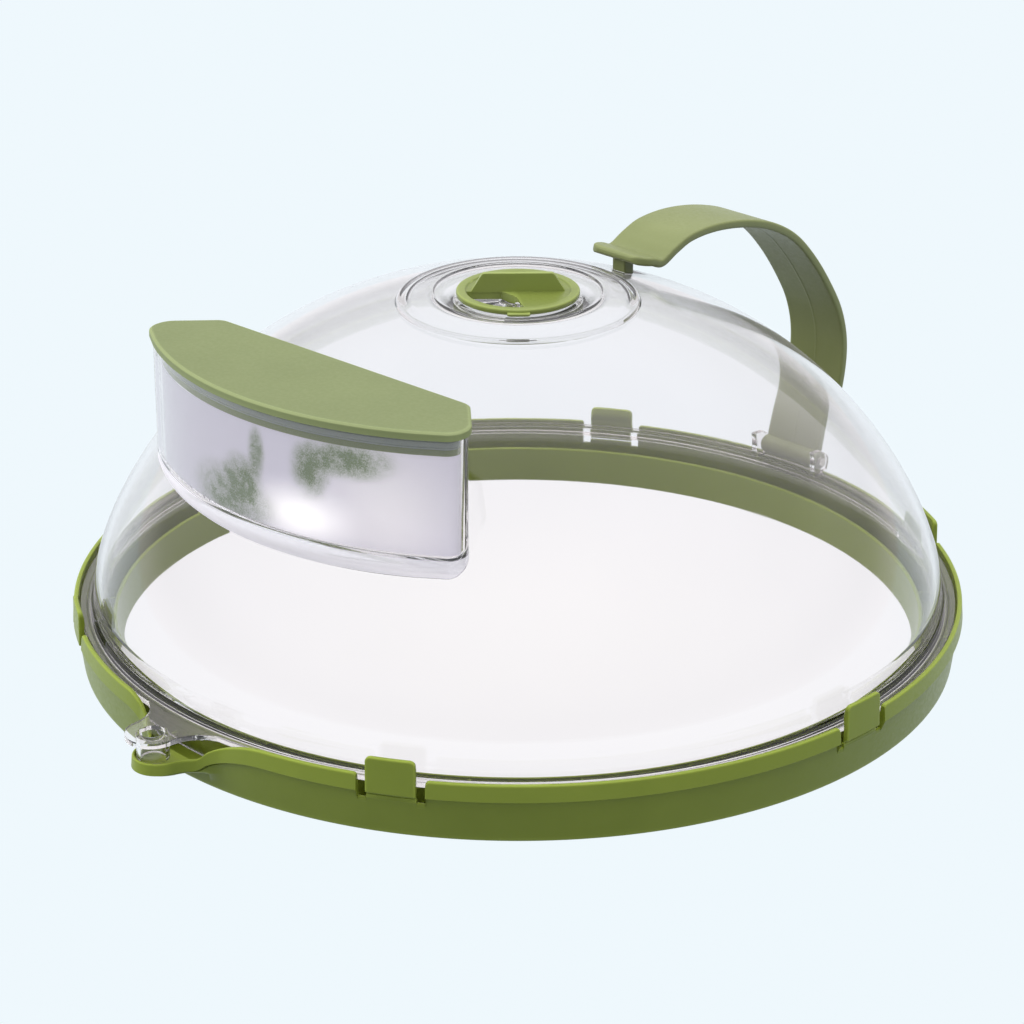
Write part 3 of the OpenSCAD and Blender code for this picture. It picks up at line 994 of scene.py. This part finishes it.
def knob_window():
    """Opening of the knob, between the fin and the bent edge of its raised floor."""
    apex = Vector((-2.9, -3.9))
    bend = Vector((3.4, -4.2))
    corner = Vector((8.6, -7.6))

    def on_rim(start, direction):
        direction = direction.normalized()
        along = start.dot(direction)
        reach = math.sqrt(along ** 2 - start.length_squared + DISH_R ** 2) - along
        return start + direction * reach

    first = on_rim(apex, Vector((-1, -1)))
    last = on_rim(corner, Vector((26.4, -13.7)))
    turns = [math.degrees(math.atan2(p.x, -p.y)) for p in (first, last)]
    outline = [(apex.x, apex.y, 0.5)]
    for k in range(33):
        x, y, _ = at(mix(turns[0], turns[1], k / 32), DISH_R)
        outline.append((x, y, 0.4 if k in (0, 32) else 0))
    outline += [(corner.x, corner.y, 0.9), (bend.x, bend.y, 1.6)]
    return soften(outline)


def grip_fin():
    """Upright fin with slanted ends and rounded edges, along the knob's diameter."""
    base, crest, half = 13.7, 10.3, 0.9
    foot = KNOB_TOP - 0.8
    outline = soften([(-base, foot, 0), (base, foot, 0), (crest, FIN_TOP, 0.8),
                      (-crest, FIN_TOP, 0.8)])
    rings = []
    for offset, shrink in ((-half, 0.3), (-half + 0.1, 0.08), (-half + 0.3, 0),
                           (half - 0.3, 0), (half - 0.1, 0.08), (half, 0.3)):
        ring = []
        for x, z in outline:
            share = (z - foot) / (FIN_TOP - foot)
            side = math.copysign(shrink * (0.4 + 0.6 * share), x)
            ring.append((x - side, offset, z - shrink * share))
        rings.append(ring)
    return turn_points(loft(rings), FIN_ANG)


def build_knob():
    """Knob with its sunk face, window, fin, pointer and the hub under it."""
    under = SEAT_Z + 0.3
    body_r = CUP_R - 0.3
    body = soften([
        (0.01, CUP_Z + 0.3, 0), (body_r, CUP_Z + 0.3, 0.3), (body_r, under, 0.1),
        (KNOB_R, under, 0.5), (KNOB_R, KNOB_TOP, 0.7), (DISH_R + 0.4, KNOB_TOP, 0.35),
        (DISH_R, KNOB_TOP - 0.5, 0.35), (0.01, KNOB_TOP - 0.5, 0),
    ])
    body[0] = (0, body[0][1])
    body[-1] = (0, body[-1][1])
    knob = make_object("knob_shell", lathe(body, 180))
    combine(knob, "DIFFERENCE", prism(knob_window(), CUP_Z - 2, KNOB_TOP + 3))
    bevel(knob, 0.18, 2, 50)
    hub = lathe([(0, 101.2), (2.9, 101.2), (3.2, 101.5), (3.2, 102.1), (2.6, 102.4),
                 (2.6, 104.1), (HUB_R, 104.2), (HUB_R, 107.2), (0, 107.2)], 64)
    pointer = []
    half = 3.3
    reach = KNOB_R + 1.2
    flat = soften([(-half, -KNOB_R + 3, 0), (half, -KNOB_R + 3, 0), (half, -reach, 0.9),
                   (-half, -reach, 0.9)])
    for z, shrink in ((under, 0.25), (under + 0.2, 0), (under + 0.7, 0), (under + 0.9, 0.25)):
        pointer.append([(x * (1 - shrink / 4), y + shrink if y < -KNOB_R else y, z)
                        for x, y in flat])
    knob_top = make_object("knob_top", grip_fin(), turn_points(loft(pointer), POINTER_ANG),
                           hub)
    join(knob, knob_top)
    return finish_piece(knob, "knob", "leaf_plastic", leaf_knob, "vent_knob", angle=35)


# ---------------------------------------------------------------- water box lid

def build_lid():
    """Lid's plate with its rounded edge, and the plug's wall under it."""
    plate = [(0.4, LID_PLATE), (-0.75, LID_PLATE), (-0.95, LID_PLATE + 0.1),
             (-1, LID_PLATE + 0.3), (-1, LID_TOP - 0.8), (-0.97, LID_TOP - 0.58),
             (-0.9, LID_TOP - 0.46), (-0.46, LID_TOP - 0.08), (-0.33, LID_TOP - 0.02),
             (-0.15, LID_TOP), (0.3, LID_TOP), (1.5, LID_TOP), (4, LID_TOP)]
    plug = [(5.2, seal_low[2] - 2), (2.8, seal_low[2] - 2), (2.6, seal_low[2] - 1.8),
            (2.6, seal_low[2]), (4, seal_low[2]), (4, LID_PLATE + 0.2), (5.2, LID_PLATE + 0.2)]
    lid = make_object(
        "lid_shell",
        loft([box_level(inset, z) for inset, z in plate]),
        loft([box_level(inset, z) for inset, z in plug], closed=True),
    )
    return finish_piece(lid, "lid", "lid_plastic", leaf_matt, "water_box_lid", angle=42)


def build_seal():
    """Silicone ring with three lips round the lid's plug."""
    low, high = seal_low[2], seal_high[2]
    deep, crest = 2.85, BOX_WALL + 0.3
    levels = [(4, low), (deep, low)]
    for share, half in ((0.12, 0.14), (0.5, 0.66), (0.88, 0.14)):
        middle = mix(low, high, share)
        levels += [(crest + 0.25, middle - half - 0.12), (crest, middle - half),
                   (crest, middle + half), (crest + 0.25, middle + half + 0.12)]
        if share < 0.8:
            levels.append((deep, middle + half + 0.25))
    levels += [(deep, high), (4, high)]
    band = loft([box_level(inset, z) for inset, z in levels], closed=True)
    seal = make_object("seal_ring", band)
    return finish_piece(seal, "lid", "silicone", silicone, "lid_seal")


# ---------------------------------------------------------------- strap handle

def spline(points, steps):
    """Smooth curve through points, the same as the CAD model's."""
    curve = []
    last = len(points) - 1
    for i in range(last):
        a, b = Vector(points[max(i - 1, 0)]), Vector(points[i])
        c, d = Vector(points[i + 1]), Vector(points[min(i + 2, last)])
        for k in range(steps):
            t = k / steps
            curve.append(0.5 * (2 * b + (c - a) * t + (2 * a - 5 * b + 4 * c - d) * t * t
                                + (3 * b - a - 3 * c + d) * t ** 3))
    curve.append(Vector(points[last]))
    return curve


def strap_section(half, thick):
    """Strap's cross-section as (across, out) points: rounded edges and a thin ridge inside."""
    edge = min(1.0, thick * 0.7)
    ridge = 0.12
    return soften([
        (-half, -thick, edge), (-0.6, -thick, 0), (-0.25, -thick - ridge, 0.1),
        (0.25, -thick - ridge, 0.1), (0.6, -thick, 0), (half, -thick, edge),
        (half, thick, edge), (-half, thick, edge),
    ])


def build_strap():
    """Strap with a rounded free end, its stud, and the hinge knuckle with its bore."""
    path = spline(STRAP_ROUTE, 9)
    end_r = STRAP_T / 2
    corner = 5
    rings = []
    first = path[0]
    ahead = (path[1] - path[0]).normalized()
    lead = [first - ahead * end_r * share for share in (0.98, 0.9, 0.7, 0.4)]
    route = lead + path
    for i, point in enumerate(route):
        tangent = (route[min(i + 1, len(route) - 1)] - route[max(i - 1, 0)]).normalized()
        normal = Vector((-tangent.y, tangent.x))
        back = (point - first).dot(ahead) + end_r if i < 40 else corner
        back = max(0.02, back)
        half = STRAP_HALF
        if back < corner:
            half -= corner - math.sqrt(corner ** 2 - (corner - back) ** 2)
        thick = STRAP_T / 2
        if back < end_r:
            thick *= math.sqrt(1 - (1 - back / end_r) ** 2)
        ring = []
        for across, out in strap_section(half, max(thick, 0.12)):
            place = point + normal * out
            ring.append((across, place.x, place.y))
        rings.append(ring)
    strap = make_object("strap_band", loft(rings))
    knuckle = [(0, -STRAP_HALF), (KNUCKLE_R - 0.5, -STRAP_HALF),
               (KNUCKLE_R - 0.15, -STRAP_HALF + 0.15), (KNUCKLE_R, -STRAP_HALF + 0.5),
               (KNUCKLE_R, STRAP_HALF - 0.5), (KNUCKLE_R - 0.15, STRAP_HALF - 0.15),
               (KNUCKLE_R - 0.5, STRAP_HALF), (0, STRAP_HALF)]
    combine(strap, "UNION", lay_along_x(lathe(knuckle, 64), (0, PIN_Y, PIN_Z)))
    front, rear = STUD_Y - 2, STUD_Y + 2
    stud = soften([(-STUD_HALF, front, 0.5), (STUD_HALF, front, 0.5), (STUD_HALF, rear, 0.5),
                   (-STUD_HALF, rear, 0.5)])
    stud_rings = []
    for z, share in ((STUD_FOOT, 0.9), (STUD_FOOT + 0.6, 1), (STUD_TOP, 1)):
        stud_rings.append([(x * share, mix(STUD_Y, y, share), z) for x, y in stud])
    combine(strap, "UNION", loft(stud_rings))
    combine(strap, "DIFFERENCE", pin_bore(PIN_R + 0.05))
    return finish_piece(strap, "strap", "strap_plastic", leaf_strap, "strap_handle", angle=40)


# ---------------------------------------------------------------- stage, light and camera

def build_floor():
    """Pale floor, a little whiter inside the ring, where the clear dome adds its own tint, and
    greying towards the ring's inner wall as painted shade.
    """
    material, shading = new_material("floor")
    ramp = shading.add("ValToRGB", {"Fac": shading.length(shading.coords())})
    inside, outside = ramp.color_ramp.elements
    outside.position = OPENING_R / MM + 0.008
    outside.color = (0.862, 0.939, 0.982, 1)
    inside.position = 0.03
    inside.color = (0.985, 0.990, 0.998, 1)
    # Painted shade: the floor greys a little towards the ring's inner wall.
    edge = ramp.color_ramp.elements.new(OPENING_R / MM + 0.002)
    edge.color = (0.93, 0.94, 0.965, 1)
    diffuse_ray = shading.add("LightPath").outputs["Is Diffuse Ray"]
    glow = shading.add("Emission", {"Color": ramp.outputs["Color"],
                                    "Strength": shading.spread(diffuse_ray, 1, 0.3, 0, 1)})
    shading.show(glow.outputs["Emission"])
    size = 12.0
    mesh = bpy.data.meshes.new("floor")
    level = -0.0003
    corners = [(-size, -size, level), (size, -size, level), (size, size, level),
               (-size, size, level)]
    mesh.from_pydata(corners, [], [(0, 1, 2, 3)])
    mesh.materials.append(material)
    floor = show_object("floor", mesh)


def aim(obj, place, target):
    """Puts a lamp or camera at a place, looking at a target, both in metres."""
    obj.location = place
    obj.rotation_euler = (Vector(target) - Vector(place)).to_track_quat("-Z", "Y").to_euler()


def area_light(name, place, size, power):
    """Soft lamp that lights surfaces but leaves no shape of its own in the clear plastic."""
    light = bpy.data.lights.new(name, "AREA")
    light.shape = "RECTANGLE"
    light.size, light.size_y = size
    light.energy = power
    lamp = show_object(name, light)
    aim(lamp, place, (0, 0, 0.06))
    lamp.visible_glossy = False
    lamp.visible_transmission = False


def build_light():
    """Pale studio: brighter overhead, and behind the cover for what the clear plastic shows."""
    world = bpy.data.worlds.new("studio")
    shading = Shading(world, "OutputWorld")
    coords = shading.coords("Generated")
    height = shading.add("SeparateXYZ", {"Vector": coords}).outputs["Z"]
    ramp = shading.add("ValToRGB", {"Fac": height})
    ramp.color_ramp.interpolation = "EASE"
    for position in (0.16, 0.42, 0.75):
        ramp.color_ramp.elements.new(position)
    for element, level in zip(ramp.color_ramp.elements, (0.75, 0.50, 0.72, 0.92, 1.0)):
        element.color = (level, level * 0.995, level * 1.01, 1)
    behind = shading.add("VectorMath", {0: coords, 1: (-0.69, 0.72, 0)}, "DOT_PRODUCT")
    strength = shading.add("Mix", {
        "Factor": shading.add("LightPath").outputs["Is Diffuse Ray"],
        "A": shading.spread(behind.outputs["Value"], 0.5, 1.25, -1, 1),
        "B": shading.spread(height, 0.62, 1.75, 0.0, 1.0),
    })
    back = shading.add("Background", {"Color": ramp.outputs["Color"],
                                      "Strength": strength.outputs["Result"]})
    shading.show(back.outputs["Background"])
    bpy.context.scene.world = world
    area_light("top", (0.1, 0.25, 1.3), (1.4, 1.4), 9)
    area_light("left", (-1.1, -0.8, 0.7), (0.8, 1.2), 13)


def build_camera():
    camera = show_object("camera", bpy.data.cameras.new("camera"))
    camera.data.sensor_width = 36
    camera.data.lens = 120.4
    camera.data.clip_end = 40
    aim(camera, (0.6453, -0.6708, 0.4435), (-0.00125, -0.00121, 0.03945))
    bpy.context.scene.camera = camera


def set_up_look():
    scene = bpy.context.scene
    scene.view_settings.view_transform = "Standard"
    scene.cycles.caustics_reflective = False
    scene.cycles.caustics_refractive = False
    scene.cycles.max_bounces = 24
    scene.cycles.transmission_bounces = 24
    scene.cycles.glossy_bounces = 6
    scene.cycles.transparent_max_bounces = 24


set_up_look()
build_camera()
build_light()
build_floor()
build_ring()
for clip_number in range(1, len(CLIP_ANGLES) + 1):
    build_clip(clip_number)
build_dome()
build_frost()
build_beads()
build_knob()
build_lid()
build_seal()
build_strap()
for cad_name in ("vent_retainer", "handle_pin"):
    cad_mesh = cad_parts[cad_name].data
    cad_mesh.materials.clear()
    cad_mesh.materials.append(white)
